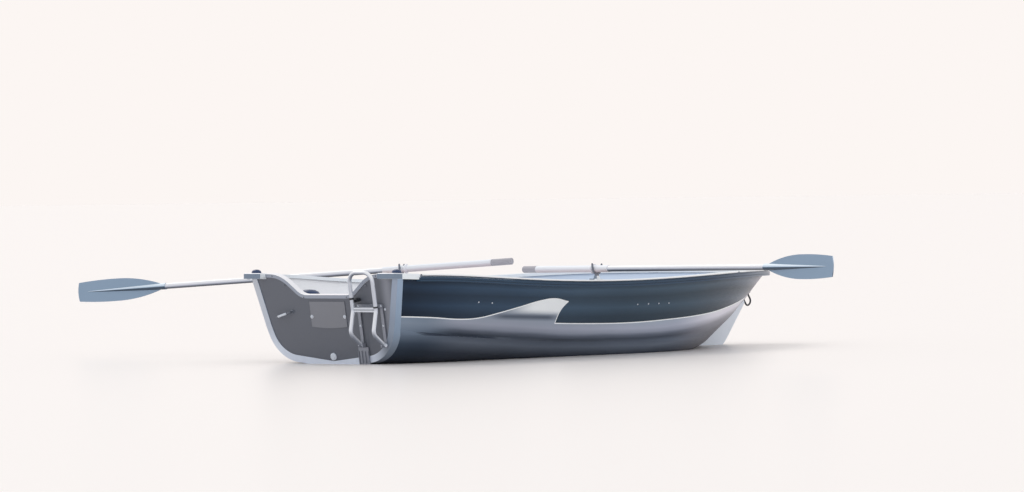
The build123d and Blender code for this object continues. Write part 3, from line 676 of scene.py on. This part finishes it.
def rail_edge(node, x, side):
    """The top of a gunwale's outer face at x, as a point of the scene.

    The gunwale's own top may rise a little inboard of it.
    """
    def met(level):
        hit, found, _, _ = from_side(node, x, level, side)
        return found if hit else None

    level, lowest = RAIL_SEARCH
    while level > lowest and not met(level):
        level -= RAIL_STEP
    face = met(level - OUTER_FACE_DOWN)
    while face and level > lowest:
        found = met(level)
        if found and abs(found.y) > abs(face.y) - OUTER_FACE_SLACK:
            return found
        level -= RAIL_STEP
    return None


def bead(node, side):
    """A round bead along the edge, as rings joined lengthwise."""
    part = bmesh.new()
    places = [rail_edge(node, x, side) for x in range(BEAD_ENDS[0], BEAD_ENDS[1] + 1, BEAD_STEP)]
    places = [place for place in places if place]
    drop = along(0, 0, -1) * BEAD_RADIUS * MM * BEAD_DOWN
    rings = []
    for i, place in enumerate(places):
        way = (places[min(i + 1, len(places) - 1)] - places[max(i - 1, 0)]).normalized()
        inboard = way.cross(Vector((0, 0, 1))).normalized() * side
        upright = inboard.cross(way).normalized()
        middle = place + drop - inboard * BEAD_RADIUS * MM * BEAD_OUTBOARD
        angles = [2 * pi * k / BEAD_SIDES for k in range(BEAD_SIDES)]
        rings.append([part.verts.new(middle + (inboard * cos(angle) + upright * sin(angle))
                                     * BEAD_RADIUS * MM) for angle in angles])
    for one, two in zip(rings, rings[1:]):
        for k in range(BEAD_SIDES):
            n = (k + 1) % BEAD_SIDES
            part.faces.new([one[k], one[n], two[n], two[k]])
    part.faces.new(rings[0])
    part.faces.new(list(reversed(rings[-1])))
    bmesh.ops.recalc_face_normals(part, faces=part.faces)
    return part


rivets("seat_rivets", SEAT_RIVETS, 4.6, "white_plastic")

# Near-white beads along the gunwales' top edges, a painted highlight of those edges
highlight_bead_look = plain("highlight_bead_look", srgb(254, 255, 255), 0.35, vary=0.0)
for side, word in SIDES:
    piece(f"gunwale_highlight_bead_{word}", [bead(f"gunwale_{word}", side)], "boat", "gunwale", highlight_bead_look)

rivets("bow_rivets", BOW_RIVETS, 5, "black_rubber")

# Fittings on the transom: places to starboard and up along it, in millimetres, and off its face
PAD_THICK = 4.3
PAD_BOLTS = [(-124, 279), (122, 279)]
TRIM_SCREWS = [(-390, 512), (-305, 459), (-168, 391), (153, 391), (305, 459), (390, 512)]
LADDER_BOLTS = [(236, 342), (236, 230), (406, 342), (406, 230)]
LADDER_PLATE = 9
LADDER_LUG_BOLT = (426, 322)
LADDER_PINS = [(421, STERN_OUT), (221, -STERN_OUT)]
LADDER_PIN_UP, LADDER_PIN_OFF = 122, 22
STRAPS = [(236, 393, 14.5, 11), (406, 344, 13.5, 9)]  # to starboard, up, outer radius, height
STRAP_INNER, STRAP_OFF = 11.6, 55

pad_bolts = [turned(bolt(7, 11), on_stern(out, up, PAD_THICK), STERN_AFT)
             for out, up in PAD_BOLTS]
piece("motor_pad_bolts", pad_bolts, "boat", "white_plastic")

screws = [turned(dome(4.5, 2), on_stern(out, up, PAD_THICK), STERN_AFT, RIVET_STEPS)
          for out, up in TRIM_SCREWS]
piece("trim_screws", screws, "boat", "fitting_steel")

frame_bolts = [turned(dome(6, 4), on_stern(out, up, LADDER_PLATE), STERN_AFT, CAP_STEPS)
               for out, up in LADDER_BOLTS]
frame_bolts.append(turned(dome(7, 4), on_stern(*LADDER_LUG_BOLT), STERN_AFT, CAP_STEPS))
piece("ladder_frame_bolts", frame_bolts, "boat", "white_plastic")

pin_caps = [turned(dome(9, 5), on_stern(out, LADDER_PIN_UP, LADDER_PIN_OFF), way, CAP_STEPS)
            for out, way in LADDER_PINS]
piece("ladder_pin_caps", pin_caps, "boat", "white_plastic")

straps = [turned(ring(STRAP_INNER, outer, high), on_stern(out, up, STRAP_OFF), STERN_UP)
          for out, up, outer, high in STRAPS]
piece("ladder_straps", straps, "ladder", "black_rubber")

BUTTON = (-129, 556, 484)
button = turned(dome(9, 7), afloat(*BUTTON), -along(0, 0, 1), CAP_STEPS)
piece("casting_button_port", [button], "boat", "white_plastic")

HANDLE = (-322, 293, 35)
HANDLE_TILT = radians(15)
HANDLE_GRIP = [(0, -34), (5, -34), (6.5, -32.5), (6.5, 32.5), (5, 34), (0, 34)]
grip_way = STERN_OUT * cos(HANDLE_TILT) + STERN_UP * sin(HANDLE_TILT)
grip = turned(HANDLE_GRIP, on_stern(*HANDLE), grip_way)
piece("transom_handle_grip", [grip], "boat", "white_plastic")


# Stage, light and camera

PAPER = srgb(252, 246, 243)
FLOOR_TONE = srgb(252, 245, 241)
FLOOR_HALF = 400
WATER_FROM, WATER_TO, WATER_STEP = -1885, 1900, 35  # millimetres along the scene's x
IN_SKIN = 0.002  # metres inboard of the skin's outer face
SKY =(0.92, 0.96, 1.0, 1)
SKY_STRENGTH = 0.87
SUN_ENERGY = 0.7
SUN_ANGLE = radians(25)
SUN_COLOUR = (1.0, 0.97, 0.93)
SUN_FROM = (0.25, 0.75, 0.8)


def waterline():
    """Where the water plane lies inside the starboard skin, from the transom to the stem."""
    edge = []
    for x in range(WATER_FROM, WATER_TO, WATER_STEP):
        start = Vector((x * MM, -FAR_OUT * MM, 0))
        hit, found, _, _ = nodes["hull_starboard"].ray_cast(start, Vector((0, 1, 0)))
        if not hit or found.y > -4 * IN_SKIN:
            break
        edge.append((x * MM, found.y + IN_SKIN))
    return edge


# The water stands around the boat, not in it: one half of the floor, and its mirror image
skin_line = waterline()
half = [(-FLOOR_HALF, 0), (-FLOOR_HALF, -FLOOR_HALF), (FLOOR_HALF, -FLOOR_HALF), (FLOOR_HALF, 0),
        (skin_line[-1][0] + 2 * IN_SKIN, 0), *reversed(skin_line), (skin_line[0][0], 0)]
corners = [(x, y, 0) for x, y in half] + [(x, -y, 0) for x, y in half]
around = list(range(len(half)))
mirrored = [len(half) + i for i in reversed(around)]
floor_mesh = bpy.data.meshes.new("floor")
floor_mesh.from_pydata(corners, [], [around, mirrored])
floor = bpy.data.objects.new("floor", floor_mesh)
bpy.context.scene.collection.objects.link(floor)
floor_mesh.materials.append(Graph("floor_look").dressed(FLOOR_TONE, 0.3))

# The sky lights the boat; the camera, gloss and glass see plain paper in its place
world = bpy.data.worlds.new("sky")
world.use_nodes = True
bpy.context.scene.world = world
tree = world.node_tree
sky = tree.nodes["Background"]
paper = tree.nodes.new("ShaderNodeBackground")
path = tree.nodes.new("ShaderNodeLightPath")
through = tree.nodes.new("ShaderNodeMath")
seen = tree.nodes.new("ShaderNodeMath")
choice = tree.nodes.new("ShaderNodeMixShader")
through.operation = seen.operation = "MAXIMUM"
sky.inputs["Color"].default_value = SKY
sky.inputs["Strength"].default_value = SKY_STRENGTH
paper.inputs["Color"].default_value = PAPER
paper.inputs["Strength"].default_value = 1.0
for source, target in ((path.outputs["Is Glossy Ray"], through.inputs[0]),
                       (path.outputs["Is Transmission Ray"], through.inputs[1]),
                       (path.outputs["Is Camera Ray"], seen.inputs[0]),
                       (through.outputs[0], seen.inputs[1]),
                       (seen.outputs[0], choice.inputs[0]),
                       (sky.outputs[0], choice.inputs[1]),
                       (paper.outputs[0], choice.inputs[2]),
                       (choice.outputs[0], tree.nodes["World Output"].inputs["Surface"])):
    tree.links.new(source, target)

sun = bpy.data.lights.new("sun", "SUN")
sun.energy = SUN_ENERGY
sun.angle = SUN_ANGLE
sun.color = SUN_COLOUR
lamp = bpy.data.objects.new("sun", sun)
lamp.rotation_euler = Vector(SUN_FROM).to_track_quat("Z", "Y").to_euler()
bpy.context.scene.collection.objects.link(lamp)

camera = bpy.data.cameras.new("camera")
camera.sensor_width = SENSOR_MM
camera.lens = camera.sensor_width * FOCAL_PX / PHOTO_WIDE
camera.clip_start, camera.clip_end = CLIP
view = bpy.data.objects.new("camera", camera)
look, across = Vector(LOOK).normalized(), Vector(ACROSS).normalized()
above = across.cross(look)
view.matrix_world = Matrix.Translation(EYE) @ Matrix((across, above, -look)).transposed().to_4x4()
bpy.context.scene.collection.objects.link(view)
bpy.context.scene.camera = view
bpy.context.scene.view_settings.view_transform = "Standard"
